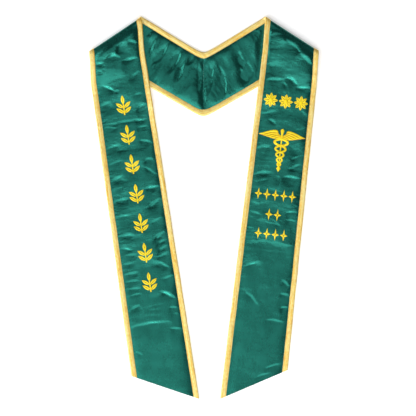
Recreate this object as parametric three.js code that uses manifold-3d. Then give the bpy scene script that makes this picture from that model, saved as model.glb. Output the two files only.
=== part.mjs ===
// A graduation stole: two doubled satin halves seamed at the back of the neck, bound in gold
// along both long edges, embroidered on the front panels and laid flat with its shoulders folded.
// Millimetres, +Z up. X runs across the chest, Y from the tips to the neck, and the origin is the
// middle of the footprint, on the surface that the stole lies on.

import * as THREE from "three";
import { mergeVertices } from "three/addons/utils/BufferGeometryUtils.js";
import Module from "manifold-3d";

// Driving dimensions, in millimetres and degrees.
const halfLength = 917; // along the middle of the band, from the seam to the tip
const lengthSplit = 4; // the left half lies this much longer than that, the right one shorter
const leftFoldAt = 206; // along the middle of the band, from the seam to the shoulder fold
const rightFoldAt = 207;
const leftBow = 4.5; // how far a panel swings out below the shoulder
const rightBow = 2.5;
const seamWidth = 110; // bound width at the seam behind the neck, square to the band
const tipWidth = 128; // bound width at the tips
const backRise = 31; // slope of the two back arms, up from the seam to the shoulders
const satinThickness = 1.4; // two plies of satin and the interfacing between them
const bindingWidth = 10.8; // gold binding, as seen from above
const bindingWall = 1.0;
const bindingRound = 1.0; // how far the binding's upper corner is cut back
const clearance = 0.3; // gap between pieces that touch
const seamGap = 0.3; // between the two halves
const foldHollow = 1.6; // radius of the space that a folded binding leaves at the shoulder
const foldSettle = 46; // from the shoulder fold to where the top layer has come down
const edgeFall = 70; // over which the top layer comes down to the surface, past the lower one
const layerGap = 0.5; // between the bindings of the two layers where they cross
const bowRun = 60; // past the shoulder fold, over which a panel swings out by its bow
const calmFrom = 0.8; // share of a front panel below which its satin lies smooth
const creaseHeight = 2.4; // of the creases on the front panels
const creaseWidth = 20;
const pleatHeight = 4.6; // of the pleats in the back arms
const pleatWidth = 11;
const coverFade = 24; // the pleats die away this far from the panel that covers them
const seamFade = 12; // and this far from the seam
const threadHeight = 1.0; // of the embroidery

// The two halves. lean: degrees that a panel slants from upright; tipCut: slant of its tip.
const halves = [
  {
    name: "left",
    hand: -1,
    length: halfLength + lengthSplit,
    foldAt: leftFoldAt,
    bow: leftBow,
    lean: 8.4,
    tipCut: 27,
  },
  {
    name: "right",
    hand: 1,
    length: halfLength - lengthSplit,
    foldAt: rightFoldAt,
    bow: rightBow,
    lean: 6.4,
    tipCut: 29.5,
  },
];

// Creases on the front panels. along: share of the panel's length from the shoulder; across: share
// of its half width, from the outer edge at -1 to the neck edge at 1; reach: share of its width;
// turn: degrees from square across; wide and rise: shares of creaseWidth and creaseHeight.
const panelCreases = {
  left: [
    { along: 0.075, across: 0.05, reach: 0.9, turn: -4, wide: 0.9, rise: 1.1 },
    { along: 0.17, across: -0.45, reach: 0.6, turn: 24, wide: 0.9, rise: 0.8 },
    { along: 0.25, across: 0.0, reach: 1.0, turn: 5, wide: 0.9, rise: 1.0 },
    { along: 0.33, across: -0.5, reach: 0.6, turn: -10, wide: 0.9, rise: 0.8 },
    { along: 0.38, across: 0.55, reach: 0.6, turn: -20, wide: 0.9, rise: 0.9 },
    { along: 0.46, across: -0.5, reach: 0.6, turn: 18, wide: 0.9, rise: 0.8 },
    { along: 0.53, across: 0.5, reach: 0.7, turn: 30, wide: 0.9, rise: 1.0 },
    { along: 0.62, across: -0.3, reach: 0.8, turn: -6, wide: 1.0, rise: 0.9 },
    { along: 0.69, across: 0.5, reach: 0.6, turn: 28, wide: 0.9, rise: 0.8 },
    { along: 0.8, across: 0.0, reach: 1.0, turn: 2, wide: 1.0, rise: 1.0 },
  ],
  right: [
    { along: 0.085, across: -0.2, reach: 1.0, turn: -38, wide: 0.9, rise: 1.1 },
    { along: 0.15, across: 0.1, reach: 0.9, turn: -8, wide: 0.9, rise: 0.9 },
    { along: 0.25, across: -0.3, reach: 0.7, turn: 24, wide: 0.9, rise: 0.8 },
    { along: 0.37, across: 0.5, reach: 0.6, turn: 14, wide: 0.9, rise: 0.9 },
    { along: 0.4, across: -0.5, reach: 0.6, turn: 10, wide: 0.9, rise: 0.9 },
    { along: 0.55, across: -0.5, reach: 0.6, turn: -20, wide: 0.9, rise: 0.8 },
    { along: 0.6, across: 0.4, reach: 0.7, turn: -26, wide: 0.9, rise: 0.8 },
    { along: 0.68, across: 0.3, reach: 0.8, turn: 16, wide: 1.0, rise: 0.9 },
    { along: 0.8, across: -0.4, reach: 0.7, turn: 30, wide: 1.0, rise: 0.8 },
  ],
};

// Pleats across the back arms. along: share of the arm's length from the seam; the other columns
// are as above, with wide and rise as shares of pleatWidth and pleatHeight.
const backPleats = {
  left: [
    { along: 0.2, across: -0.1, reach: 1.0, turn: 24, wide: 0.7, rise: 0.8 },
    { along: 0.43, across: 0.25, reach: 1.0, turn: 8, wide: 0.8, rise: 1.0 },
    { along: 0.63, across: 0.4, reach: 1.0, turn: -8, wide: 0.9, rise: 0.9 },
  ],
  right: [
    { along: 0.17, across: 0.1, reach: 1.1, turn: 28, wide: 0.7, rise: 0.9 },
    { along: 0.33, across: -0.3, reach: 0.8, turn: 16, wide: 0.7, rise: 0.7 },
    { along: 0.66, across: 0.1, reach: 1.1, turn: 22, wide: 0.9, rise: 1.0 },
  ],
};

// Embroidery on the left panel: a column of leafy sprigs. first: clear satin above it, from the
// shoulder; next: clear satin between two sprigs; leafRows: heights of the pairs of leaves, as
// shares of the sprig's height.
const sprigColumn = { count: 7, first: 124, next: 19.6 };
const sprig = { height: 40, stem: 3, leafLength: 19, leafWidth: 7.5, leafTurn: 52 };
const leafRows = [0.09, 0.35];

// Embroidery on the right panel: a row of rosettes, a winged staff with two snakes, and rows of
// stars. clearAbove: clear satin above each of these.
const clearAbove = { rosettes: 122, emblem: 41, stars: 35, nextStars: 16.5 };
const rosette = { count: 3, gap: 1, margin: 2.5, petals: 8, petalWidth: 7, centre: 8 };
const staff = { length: 86, rod: 3, knob: 8, knobLength: 14, point: 9.6, pointLength: 14 };
const star = { height: 23, width: 15, waist: 0.2, gap: 2 };
const starRows = [
  { name: "upper", count: 5 },
  { name: "middle", count: 2 },
  { name: "lower", count: 4 },
];

// The loops of the two snakes, from the top. drop: where a loop ends, down from the staff's top;
// width: its outer width. Both are shares of the staff's length, and so is start.
const snake = { start: 0.235, thick: 4.6, thin: 3 };
const snakeLoops = [
  { drop: 0.39, width: 0.377 },
  { drop: 0.535, width: 0.3 },
  { drop: 0.66, width: 0.235 },
  { drop: 0.775, width: 0.18 },
  { drop: 0.865, width: 0.135 },
];

// A wing reaches to `margin` from the binding. The rest are shares of its span, from where it
// leaves the staff. rise and shoulder: place of its highest point; lead: how far its leading edge
// stays high; root: height of its root; notch: how far the gap between two feathers is cut in.
// The feather tips go from the longest to the shortest.
const wing = { margin: 1.5, rise: 0.25, shoulder: 0.27, lead: 0.5, root: 0.12, notch: 0.05 };
const featherTips = [
  { reach: 1.0, drop: 0.0 },
  { reach: 0.85, drop: 0.045 },
  { reach: 0.69, drop: 0.09 },
  { reach: 0.53, drop: 0.13 },
  { reach: 0.37, drop: 0.165 },
];

// How finely the cloth and the embroidery are divided.
const armSteps = 12;
const foldSteps = 6;
const creasedSteps = 34;
const calmSteps = 4;
const middleStrips = 5;
const curveSteps = 3;
const loopSteps = 5;

const { degToRad, lerp, smoothstep } = THREE.MathUtils;
const wasm = await Module();
wasm.setup();

const edgeReach = clearance + bindingWall; // the binding's fold stands this far past the satin
const bindingLeg = bindingWidth - edgeReach; // how much of the satin each leg covers
const satinHalf = satinThickness / 2;
const bindingHalf = satinHalf + edgeReach; // half of the binding's whole thickness
const sag = edgeReach; // the satin sinks this far between its bindings, onto the surface
const overlapLift = 2 * bindingHalf + layerGap; // of the top layer where it lies on the lower one
const foldRadius = bindingHalf + foldHollow; // of the shoulder fold, to the middle of the cloth
const halfRoll = (Math.PI * foldRadius) / 2; // half of the cloth that goes round the fold

// One half's flat pattern and how it is laid. s runs along the band from the seam, and u across it,
// towards the neck edge. Everything is worked out for the half on the +X side, and mirrored later.
function layOut(half) {
  const rise = degToRad(backRise);
  const lean = degToRad(half.lean);
  const along = new THREE.Vector2(Math.cos(rise), Math.sin(rise));
  const foldAngle = (1.5 * Math.PI - lean + rise) / 2;
  const foldLine = new THREE.Vector2(Math.cos(foldAngle), Math.sin(foldAngle));
  const flare = (tipWidth - seamWidth) / 2 / half.length;
  return {
    ...half,
    along,
    across: new THREE.Vector2(-along.y, along.x),
    foldLine,
    outward: new THREE.Vector2(foldLine.y, -foldLine.x),
    foldMiddle: along.clone().multiplyScalar(half.foldAt),
    panelAlong: new THREE.Vector2(-Math.sin(lean), -Math.cos(lean)),
    panelAcross: new THREE.Vector2(-Math.cos(lean), Math.sin(lean)),
    flare,
    halfWidth: (s) => seamWidth / 2 + flare * s,
    arm: { from: 0, length: half.foldAt, rows: backPleats[half.name] },
    panel: { from: half.foldAt, length: half.length - half.foldAt, rows: panelCreases[half.name] },
  };
}

// A cut or fold across the pattern is a line s = start + skew * u.
function cutsAcross(lay) {
  const square = lay.along.dot(lay.outward);
  const foldSkew = -lay.across.dot(lay.outward) / square;
  const foldEnd = { start: lay.foldAt + halfRoll / square, skew: foldSkew };
  const tip = { start: lay.length, skew: Math.tan(degToRad(lay.tipCut)) };
  return {
    seam: { start: seamGap / 2 / lay.along.x, skew: lay.along.y / lay.along.x },
    foldStart: { start: lay.foldAt - halfRoll / square, skew: foldSkew },
    foldEnd,
    calm: lineBetween(foldEnd, tip, calmFrom),
    tip,
  };
}

function lineBetween(from, to, share) {
  return { start: lerp(from.start, to.start, share), skew: lerp(from.skew, to.skew, share) };
}

// The lines across the band at which it is divided, from the seam to the tip.
function stations(lay) {
  const cuts = cutsAcross(lay);
  const stretches = [
    [cuts.seam, cuts.foldStart, armSteps],
    [cuts.foldStart, cuts.foldEnd, foldSteps],
    [cuts.foldEnd, cuts.calm, creasedSteps],
    [cuts.calm, cuts.tip, calmSteps],
  ];
  const lines = [cuts.seam];
  for (const [from, to, steps] of stretches) {
    for (let i = 1; i <= steps; i++) lines.push(lineBetween(from, to, i / steps));
  }
  return lines;
}

// The columns along the band, from the outer edge to the neck edge: the satin's two edges, and
// between them the strips from one binding's stitched edge to the other's. share is the place
// between the middle of the band and an edge, and inset how far that edge is from the bound one.
function columns() {
  const list = [{ share: -1, inset: edgeReach }];
  for (let i = 0; i <= middleStrips; i++) {
    list.push({ share: (2 * i) / middleStrips - 1, inset: bindingWidth });
  }
  list.push({ share: 1, inset: edgeReach });
  return list;
}

// Where a column crosses a line across the pattern. free is how far the satin may leave the level
// of its bindings there: 0 at their stitched edges and under them, 1 in the middle.
function crossing(lay, line, column) {
  const { share, inset } = column;
  const { start, skew } = line;
  const onSeam = share * (seamWidth / 2 - inset);
  const s = (start + skew * onSeam) / (1 - skew * share * lay.flare);
  const free = inset === bindingWidth ? 1 - share ** 4 : 0;
  return { s, u: share * (lay.halfWidth(s) - inset), free };
}

// The height at (s, u) of all the creases or pleats in one stretch of the band.
function ridges(lay, { from, length, rows }, s, u, width, height) {
  return rows.reduce((sum, row) => {
    const turn = degToRad(row.turn);
    const middle = from + row.along * length;
    const halfBand = lay.halfWidth(middle);
    const ahead = s - middle;
    const aside = u - row.across * halfBand;
    const beside = ahead * Math.cos(turn) + aside * Math.sin(turn);
    const onward = aside * Math.cos(turn) - ahead * Math.sin(turn);
    const end = Math.min(1, Math.abs(onward) / (row.reach * halfBand));
    const profile = Math.exp(-((beside / (width * row.wide)) ** 2));
    return sum + height * row.rise * profile * (1 - end ** 2) ** 2;
  }, 0);
}

// The middle of the cloth at a point of the pattern, folded over and laid down.
function laidPoint(lay, { s, u, free }) {
  const fromFold = new THREE.Vector2()
    .addScaledVector(lay.along, s - lay.foldAt)
    .addScaledVector(lay.across, u);
  const past = fromFold.dot(lay.outward);
  const rolled = Math.abs(past) < halfRoll;
  const turn = past / foldRadius;
  const out = rolled ? foldRadius * Math.cos(turn) - halfRoll : -Math.abs(past);
  const flat = lay.foldMiddle
    .clone()
    .addScaledVector(lay.foldLine, fromFold.dot(lay.foldLine))
    .addScaledVector(lay.outward, out);
  let z = bindingHalf;
  if (rolled) {
    z += foldRadius * (1 + Math.sin(turn));
  } else if (past < 0) {
    z += free * armRelief(lay, s, u, flat, -past - halfRoll);
  } else {
    const settled = smoothstep(past - halfRoll, 0, foldSettle);
    const pastLower = -lay.halfWidth(flat.dot(lay.along)) - flat.dot(lay.across);
    z += overlapLift * (1 - smoothstep(pastLower, 0, edgeFall));
    z += (2 * foldRadius - overlapLift) * (1 - settled);
    z += free * settled * (ridges(lay, lay.panel, s, u, creaseWidth, creaseHeight) - sag);
    flat.x += lay.bow * smoothstep(past - halfRoll, 0, bowRun);
  }
  return new THREE.Vector3(flat.x, flat.y, z);
}

// How far the satin of a back arm stands above its bindings: its pleats, which end where the front
// panel covers the arm and at the seam, less its sag.
function armRelief(lay, s, u, flat, fromFold) {
  const onPanel = flat.clone().sub(lay.foldMiddle);
  const panelHalf = lay.halfWidth(lay.foldAt + onPanel.dot(lay.panelAlong));
  const uncovered = onPanel.dot(lay.panelAcross) - panelHalf;
  const shown = smoothstep(uncovered, 0, coverFade) * smoothstep(flat.x, 0, seamFade);
  const pleats = ridges(lay, lay.arm, s, u, pleatWidth, pleatHeight);
  return pleats * shown - sag * smoothstep(fromFold, 0, foldSettle);
}

// The grid of one half: the middle of the cloth at each station and column, and its normals. At
// the seam the normals keep to its plane, so that the two halves meet there.
function clothGrid(lay) {
  const strips = columns();
  const middle = stations(lay).map((line) =>
    strips.map((column) => laidPoint(lay, crossing(lay, line, column))),
  );
  const lastRow = middle.length - 1;
  const lastColumn = strips.length - 1;
  const normals = middle.map((row, i) =>
    row.map((_, j) => {
      const down = middle[Math.min(i + 1, lastRow)][j].clone().sub(middle[Math.max(i - 1, 0)][j]);
      const over = row[Math.min(j + 1, lastColumn)].clone().sub(row[Math.max(j - 1, 0)]);
      const normal = down.cross(over);
      if (i === 0) normal.x = 0;
      return normal.normalize();
    }),
  );
  return { lay, middle, normals };
}

// A point on one half, at a distance along the normal, as an array.
function offPoint(lay, point, normal, distance) {
  const { x, y, z } = point.clone().addScaledVector(normal, distance);
  return [x * lay.hand, y, z];
}

// A closed mesh through rings of points, with its two ends closed over the outline `section`,
// which has one point for each point of a ring and runs anticlockwise.
function loft(rings, section) {
  const size = section.length;
  const faces = [];
  for (let i = 0; i + 1 < rings.length; i++) {
    for (let k = 0; k < size; k++) {
      const a = i * size + k;
      const b = i * size + ((k + 1) % size);
      faces.push(a, a + size, b + size, a, b + size, b);
    }
  }
  const end = (rings.length - 1) * size;
  for (const [a, b, c] of THREE.ShapeUtils.triangulateShape(section, [])) {
    faces.push(a, b, c, end + a, end + c, end + b);
  }
  return facingOut(new Float32Array(rings.flat(2)), faces);
}

// The geometry of a closed mesh, with its faces turned outwards.
function facingOut(positions, faces) {
  const corner = (i) => new THREE.Vector3().fromArray(positions, 3 * faces[i]);
  let volume = 0;
  for (let i = 0; i < faces.length; i += 3) {
    volume += corner(i).dot(corner(i + 1).cross(corner(i + 2)));
  }
  if (volume < 0) faces.reverse();
  return new THREE.BufferGeometry()
    .setAttribute("position", new THREE.BufferAttribute(positions, 3))
    .setIndex(faces);
}

// The sheet between two distances from the middle of the cloth.
function sheet({ lay, middle, normals }, near, far) {
  const places = middle[0].map((_, j) => j);
  const round = [...places.map((j) => [j, near]), ...places.map((j) => [j, far]).reverse()];
  const rings = middle.map((row, i) =>
    round.map(([j, distance]) => offPoint(lay, row[j], normals[i][j], distance)),
  );
  const side = Math.sign(far - near);
  const section = round.map(([j, distance]) => new THREE.Vector2(j, side * distance));
  return loft(rings, section);
}

// The section of a binding, out towards the satin's edge and up from the satin's middle.
function bindingSection() {
  const hollow = satinHalf + clearance;
  const hollowEnd = bindingLeg + clearance;
  return [
    [0, -bindingHalf],
    [bindingWidth, -bindingHalf],
    [bindingWidth, bindingHalf - bindingRound],
    [bindingWidth - bindingRound, bindingHalf],
    [0, bindingHalf],
    [0, hollow],
    [hollowEnd, hollow],
    [hollowEnd, -hollow],
    [0, -hollow],
  ].map(([out, up]) => new THREE.Vector2(out, up));
}

// A binding runs along one edge of both halves, from tip to tip. It starts from the column at its
// stitched edge, goes past the column at the satin's edge, and turns with the normals of both.
function binding(grids, stitched, edge) {
  const section = bindingSection();
  const [left, right] = grids.map(({ lay, middle, normals }) =>
    middle.map((row, i) =>
      section.map(({ x: out, y: up }) => {
        const share = out / bindingLeg;
        const point = row.at(stitched).clone().lerp(row.at(edge), share);
        const normal = normals[i].at(stitched).clone().lerp(normals[i].at(edge), Math.min(1, share));
        return offPoint(lay, point, normal.normalize(), up);
      }),
    ),
  );
  return loft([...left.reverse(), ...right], section);
}

// Joining and cutting closed meshes.
function solidFrom(geometry) {
  const bare = geometry.index ? geometry.toNonIndexed() : geometry.clone();
  bare.deleteAttribute("normal");
  bare.deleteAttribute("uv");
  const merged = mergeVertices(bare);
  return new wasm.Manifold(
    new wasm.Mesh({
      numProp: 3,
      vertProperties: merged.attributes.position.array,
      triVerts: new Uint32Array(merged.index.array),
    }),
  );
}

function geometryFrom(solid) {
  const mesh = solid.getMesh();
  return new THREE.BufferGeometry()
    .setAttribute("position", new THREE.BufferAttribute(mesh.vertProperties, 3))
    .setIndex(new THREE.BufferAttribute(mesh.triVerts, 1));
}

function joined(solids) {
  return solids.reduce((whole, next) => whole.add(next));
}

// An upright prism over an outline, raised from y and turned, and taller than the whole stole.
function prism(shape, y = 0, turn = 0) {
  const depth = 4 * (bindingHalf + foldRadius) + creaseHeight;
  const options = { depth, bevelEnabled: false, curveSegments: curveSteps };
  const geometry = new THREE.ExtrudeGeometry(shape, options).rotateZ(turn).translate(0, y, 0);
  return solidFrom(geometry);
}

// A leaf or petal with pointed ends, growing along +Y from the origin.
function leafShape(length, width) {
  return new THREE.Shape()
    .moveTo(0, 0)
    .quadraticCurveTo(width, length / 2, 0, length)
    .quadraticCurveTo(-width, length / 2, 0, 0);
}

function barShape(width, low, high) {
  return new THREE.Shape()
    .moveTo(-width / 2, low)
    .lineTo(width / 2, low)
    .lineTo(width / 2, high)
    .lineTo(-width / 2, high);
}

// A band of varying width along a middle line of points.
function ribbonShape(middle, widthAt) {
  const last = middle.length - 1;
  const near = [];
  const far = [];
  middle.forEach((point, i) => {
    const way = middle[Math.min(i + 1, last)].clone().sub(middle[Math.max(i - 1, 0)]).normalize();
    const aside = new THREE.Vector2(-way.y, way.x).multiplyScalar(widthAt(i / last) / 2);
    near.push(point.clone().add(aside));
    far.push(point.clone().sub(aside));
  });
  return new THREE.Shape([...near, ...far.reverse()]);
}

function sprigSolid() {
  const { height, stem, leafLength, leafWidth, leafTurn } = sprig;
  const foot = -height / 2;
  const leaf = leafShape(leafLength, leafWidth);
  const parts = [
    prism(barShape(stem, foot, height / 2 - leafLength / 2)),
    prism(leaf, height / 2 - leafLength),
  ];
  for (const share of leafRows) {
    for (const side of [-1, 1]) {
      parts.push(prism(leaf, foot + share * height, side * degToRad(leafTurn)));
    }
  }
  return joined(parts);
}

function rosetteSolid(size) {
  const { petals, petalWidth, centre } = rosette;
  const petal = leafShape(size / 2, petalWidth);
  const parts = [prism(new THREE.Shape().absarc(0, 0, centre / 2, 0, 2 * Math.PI))];
  for (let i = 0; i < petals; i++) parts.push(prism(petal, 0, (2 * Math.PI * i) / petals));
  return joined(parts);
}

// A star with four points, narrowed to its waist between them.
function starSolid() {
  const { height, width, waist } = star;
  const points = [];
  for (let i = 0; i < 8; i++) {
    const angle = (Math.PI * i) / 4;
    const share = i % 2 === 0 ? 0.5 : waist;
    points.push(
      new THREE.Vector2(Math.sin(angle) * width * share, Math.cos(angle) * height * share),
    );
  }
  return prism(new THREE.Shape(points));
}

// Two snakes that cross on the staff, in loops that narrow towards its point.
function snakesSolid() {
  const bodies = [-1, 1].map((side) => {
    const middle = [new THREE.Vector2(0, staff.length * (0.5 - snake.start))];
    let from = snake.start;
    snakeLoops.forEach(({ drop, width }, loop) => {
      const swing = (width * staff.length - snake.thick) / 2;
      const way = loop % 2 === 0 ? side : -side;
      for (let i = 1; i <= loopSteps; i++) {
        const share = i / loopSteps;
        const x = way * swing * Math.sin(Math.PI * share);
        middle.push(new THREE.Vector2(x, staff.length * (0.5 - lerp(from, drop, share))));
      }
      from = drop;
    });
    return prism(ribbonShape(middle, (share) => lerp(snake.thick, snake.thin, share)));
  });
  return joined(bodies);
}

function knobShape() {
  const { length, rod, knob, knobLength } = staff;
  const top = length / 2;
  return new THREE.Shape()
    .moveTo(-rod / 2, top - knobLength)
    .lineTo(rod / 2, top - knobLength)
    .lineTo(knob / 2, top - knob / 2)
    .quadraticCurveTo(knob / 2, top, 0, top)
    .quadraticCurveTo(-knob / 2, top, -knob / 2, top - knob / 2);
}

function pointShape() {
  const { length, point, pointLength } = staff;
  const foot = -length / 2;
  return new THREE.Shape()
    .moveTo(0, foot)
    .lineTo(point / 2, foot + pointLength / 2)
    .lineTo(0, foot + pointLength)
    .lineTo(-point / 2, foot + pointLength / 2);
}

// A wing rises from the staff to its shoulder, runs out to its longest feather and steps back
// over the tips of the others.
function wingShape(span, side) {
  const { rise, shoulder, lead, root, notch } = wing;
  const neck = staff.length / 2 - staff.knobLength;
  const at = (out, up) => [side * span * out, neck + span * up];
  const shape = new THREE.Shape().moveTo(...at(0, 0));
  shape.bezierCurveTo(...at(shoulder, root), ...at(shoulder / 2, rise), ...at(shoulder, rise));
  shape.quadraticCurveTo(...at(lead, rise), ...at(featherTips[0].reach, -featherTips[0].drop));
  featherTips.slice(1).forEach((tip, i) => {
    const drop = lerp(featherTips[i].drop, tip.drop, 0.5);
    shape.lineTo(...at(tip.reach - notch, -drop)).lineTo(...at(tip.reach, -tip.drop));
  });
  return shape.lineTo(...at(0, -root));
}

function emblemSolid(wingSpan) {
  const { length, rod, knobLength, pointLength } = staff;
  const rodShape = barShape(rod, (pointLength - length) / 2, length / 2 - knobLength);
  const shapes = [rodShape, knobShape(), pointShape(), wingShape(wingSpan, -1), wingShape(wingSpan, 1)];
  return joined([...shapes.map((shape) => prism(shape)), snakesSolid()]);
}

const group = new THREE.Group();
const satin = new THREE.MeshStandardMaterial({ color: 0x216b5b, roughness: 0.38 });
const gold = new THREE.MeshStandardMaterial({ color: 0xe8bf57, roughness: 0.35, metalness: 0.2 });
const thread = new THREE.MeshStandardMaterial({ color: 0xffdc1e, roughness: 0.5 });

function add(name, geometry, material) {
  const mesh = new THREE.Mesh(geometry, material.clone());
  mesh.name = name;
  group.add(mesh);
}

const grids = halves.map((half) => clothGrid(layOut(half)));
for (const grid of grids) add(`${grid.lay.name}_satin`, sheet(grid, -satinHalf, satinHalf), satin);
add("neck_binding", binding(grids, -2, -1), gold);
add("outer_binding", binding(grids, 1, 0), gold);

// The embroiderer of a half cuts motifs out of a layer of thread on its front panel, between the
// bindings. Past the fold the cloth is turned over, so that the layer is on its far side. A motif
// is placed down the middle of the panel from the shoulder, and across it towards +X.
function embroiderer({ lay, middle, normals }) {
  const panelOnly = (rows) => rows.slice(armSteps + foldSteps).map((row) => row.slice(1, -1));
  const panel = { lay, middle: panelOnly(middle), normals: panelOnly(normals) };
  const base = -satinHalf - clearance;
  const layer = solidFrom(sheet(panel, base, base - threadHeight));
  return (name, solid, down, across = 0) => {
    const place = laidPoint(lay, { s: lay.foldAt + down, u: -lay.hand * across, free: 0 });
    const moved = solid
      .rotate([0, 0, -lay.hand * lay.lean])
      .translate([lay.hand * place.x, place.y, 0]);
    add(name, geometryFrom(moved.intersect(layer)), thread);
  };
}

function sprigs(embroider) {
  const pattern = sprigSolid();
  const pitch = sprig.height + sprigColumn.next;
  for (let i = 0; i < sprigColumn.count; i++) {
    embroider(`sprig_${i + 1}`, pattern, sprigColumn.first + sprig.height / 2 + i * pitch);
  }
}

function rosettes(embroider, lay) {
  const { count, gap, margin } = rosette;
  const room = 2 * (lay.halfWidth(lay.foldAt + clearAbove.rosettes) - bindingWidth - margin);
  const size = (room - (count - 1) * gap) / count;
  const pattern = rosetteSolid(size);
  for (let i = 0; i < count; i++) {
    const across = (i - (count - 1) / 2) * (size + gap);
    embroider(`rosette_${i + 1}`, pattern, clearAbove.rosettes + size / 2, across);
  }
  return clearAbove.rosettes + size;
}

function emblem(embroider, lay, above) {
  const top = above + clearAbove.emblem;
  const span = lay.halfWidth(lay.foldAt + top) - bindingWidth - wing.margin;
  embroider("emblem", emblemSolid(span), top + staff.length / 2);
  return top + staff.length;
}

function stars(embroider, above) {
  const pattern = starSolid();
  let down = above + clearAbove.stars + star.height / 2;
  for (const { name, count } of starRows) {
    for (let i = 0; i < count; i++) {
      const across = (i - (count - 1) / 2) * (star.width + star.gap);
      embroider(`star_${name}_${i + 1}`, pattern, down, across);
    }
    down += star.height + clearAbove.nextStars;
  }
}

const [left, right] = grids;
sprigs(embroiderer(left));
const onRight = embroiderer(right);
const rosettesEnd = rosettes(onRight, right.lay);
const emblemEnd = emblem(onRight, right.lay, rosettesEnd);
stars(onRight, emblemEnd);

// The origin goes to the middle of the footprint, at the surface underneath.
const box = new THREE.Box3().setFromObject(group);
const footprint = box.getCenter(new THREE.Vector3());
group.position.set(-footprint.x, -footprint.y, -box.min.z);

export default group;
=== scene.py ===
# %% [markdown]
# # A graduation stole, laid flat
#
# A stole is a long band of satin that hangs round the neck over a gown. This one is laid on a
# table: the back of the neck makes a V, the band is folded over at each shoulder, and the two
# front panels slant towards each other. Gold ribbon binds both long edges, and the panels are
# embroidered in yellow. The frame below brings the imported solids, and every piece here is fitted
# over them.

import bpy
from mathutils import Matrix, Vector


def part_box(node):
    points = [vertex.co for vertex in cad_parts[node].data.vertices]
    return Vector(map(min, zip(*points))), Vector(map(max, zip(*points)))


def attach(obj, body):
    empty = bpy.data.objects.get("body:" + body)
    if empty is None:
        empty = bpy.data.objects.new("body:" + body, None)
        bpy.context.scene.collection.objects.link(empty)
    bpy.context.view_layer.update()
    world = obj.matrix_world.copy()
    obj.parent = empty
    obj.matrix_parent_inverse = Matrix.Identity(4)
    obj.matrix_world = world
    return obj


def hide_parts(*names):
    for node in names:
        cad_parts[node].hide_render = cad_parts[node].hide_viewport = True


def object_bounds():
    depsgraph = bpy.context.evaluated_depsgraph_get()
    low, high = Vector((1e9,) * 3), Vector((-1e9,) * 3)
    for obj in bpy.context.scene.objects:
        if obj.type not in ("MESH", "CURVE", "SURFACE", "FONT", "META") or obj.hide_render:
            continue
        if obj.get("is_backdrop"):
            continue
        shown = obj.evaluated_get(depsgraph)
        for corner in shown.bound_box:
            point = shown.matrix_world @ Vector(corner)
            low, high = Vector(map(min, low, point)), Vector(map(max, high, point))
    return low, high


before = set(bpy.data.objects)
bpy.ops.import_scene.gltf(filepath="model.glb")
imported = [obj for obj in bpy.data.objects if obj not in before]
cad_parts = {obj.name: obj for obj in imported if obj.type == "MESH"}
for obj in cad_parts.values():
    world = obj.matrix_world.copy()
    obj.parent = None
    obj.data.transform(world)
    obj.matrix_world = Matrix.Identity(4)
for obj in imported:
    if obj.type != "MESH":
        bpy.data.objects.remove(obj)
cad_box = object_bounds()
print("CAD box from", tuple(cad_box[0]), "to", tuple(cad_box[1]))

# %% Libraries and units
import math

import bmesh
import bpy
import numpy as np
from mathutils import Vector, noise

MM = 0.001  # patterns are drawn in millimetres, and meshes are placed in metres

# %% [markdown]
# ## Camera
#
# The photo looks straight down. A long lens from two metres up keeps the panels parallel, as they
# are in the photo, and still is a real camera that can swing round the stole.

# %% Camera
PHOTO_WIDTH = 0.832  # what the photo's frame covers, in metres
PHOTO_CENTRE = (0.008, -0.0005)
CLOTH_LEVEL = 0.004

camera = bpy.data.objects.new("camera", bpy.data.cameras.new("camera"))
camera.data.lens = 200
camera.data.sensor_width = 36
distance = PHOTO_WIDTH * camera.data.lens / camera.data.sensor_width
camera.location = (*PHOTO_CENTRE, CLOTH_LEVEL + distance)
bpy.context.scene.collection.objects.link(camera)
bpy.context.scene.camera = camera
print(f"camera {distance:.3f} m above the cloth")

# %% [markdown]
# ## Light and floor
#
# Satin shows its folds by what it mirrors. A broad soft light at the front is mirrored by slopes
# that lean forward a little, and a brighter strip below it only by the steepest ones, so the steep
# bank of a crease draws itself as a thin light line. A strip on the left does the same for the
# pleats behind the neck. Level cloth mirrors the weak light overhead, and slopes that lean back
# mirror the dim walls.


# %% Light and floor
def area_light(name, place, size, radiance):
    """A broad soft light, as wide and as deep as size says, that faces the middle of the stole."""
    data = bpy.data.lights.new(name, "AREA")
    data.shape = "RECTANGLE"
    data.size, data.size_y = size
    data.energy = radiance * math.pi * data.size * data.size_y
    lamp = bpy.data.objects.new(name, data)
    lamp.location = place
    lamp.rotation_euler = Vector(place).to_track_quat("Z", "Y").to_euler()
    bpy.context.scene.collection.objects.link(lamp)
    return lamp


area_light("overhead", (-0.3, 0.4, 5), (3.8, 2.8), 0.74)
area_light("front", (-0.6, -3.6, 5.2), (12, 5.2), 1.95)
area_light("low_strip", (-1.6, -5.4, 3.2), (8, 1.4), 8.0)
area_light("side_strip", (-5.6, 0.1, 3.2), (9, 1.6), 4.4)

studio = bpy.data.worlds.new("studio")
studio.use_nodes = True
studio.node_tree.nodes["Background"].inputs["Color"].default_value = (1, 1, 1, 1)
studio.node_tree.nodes["Background"].inputs["Strength"].default_value = 0.11
bpy.context.scene.world = studio
bpy.context.scene.view_settings.view_transform = "Standard"

FLOOR_GAP = 0.3 * MM
floor_bmesh = bmesh.new()
bmesh.ops.create_grid(floor_bmesh, x_segments=1, y_segments=1, size=5)
bmesh.ops.translate(floor_bmesh, verts=floor_bmesh.verts, vec=(0, 0, -FLOOR_GAP))
floor_mesh = bpy.data.meshes.new("floor")
floor_bmesh.to_mesh(floor_mesh)
floor_bmesh.free()
floor = bpy.data.objects.new("floor", floor_mesh)
bpy.context.scene.collection.objects.link(floor)
floor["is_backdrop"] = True
print("floor", floor.dimensions[:])

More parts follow.
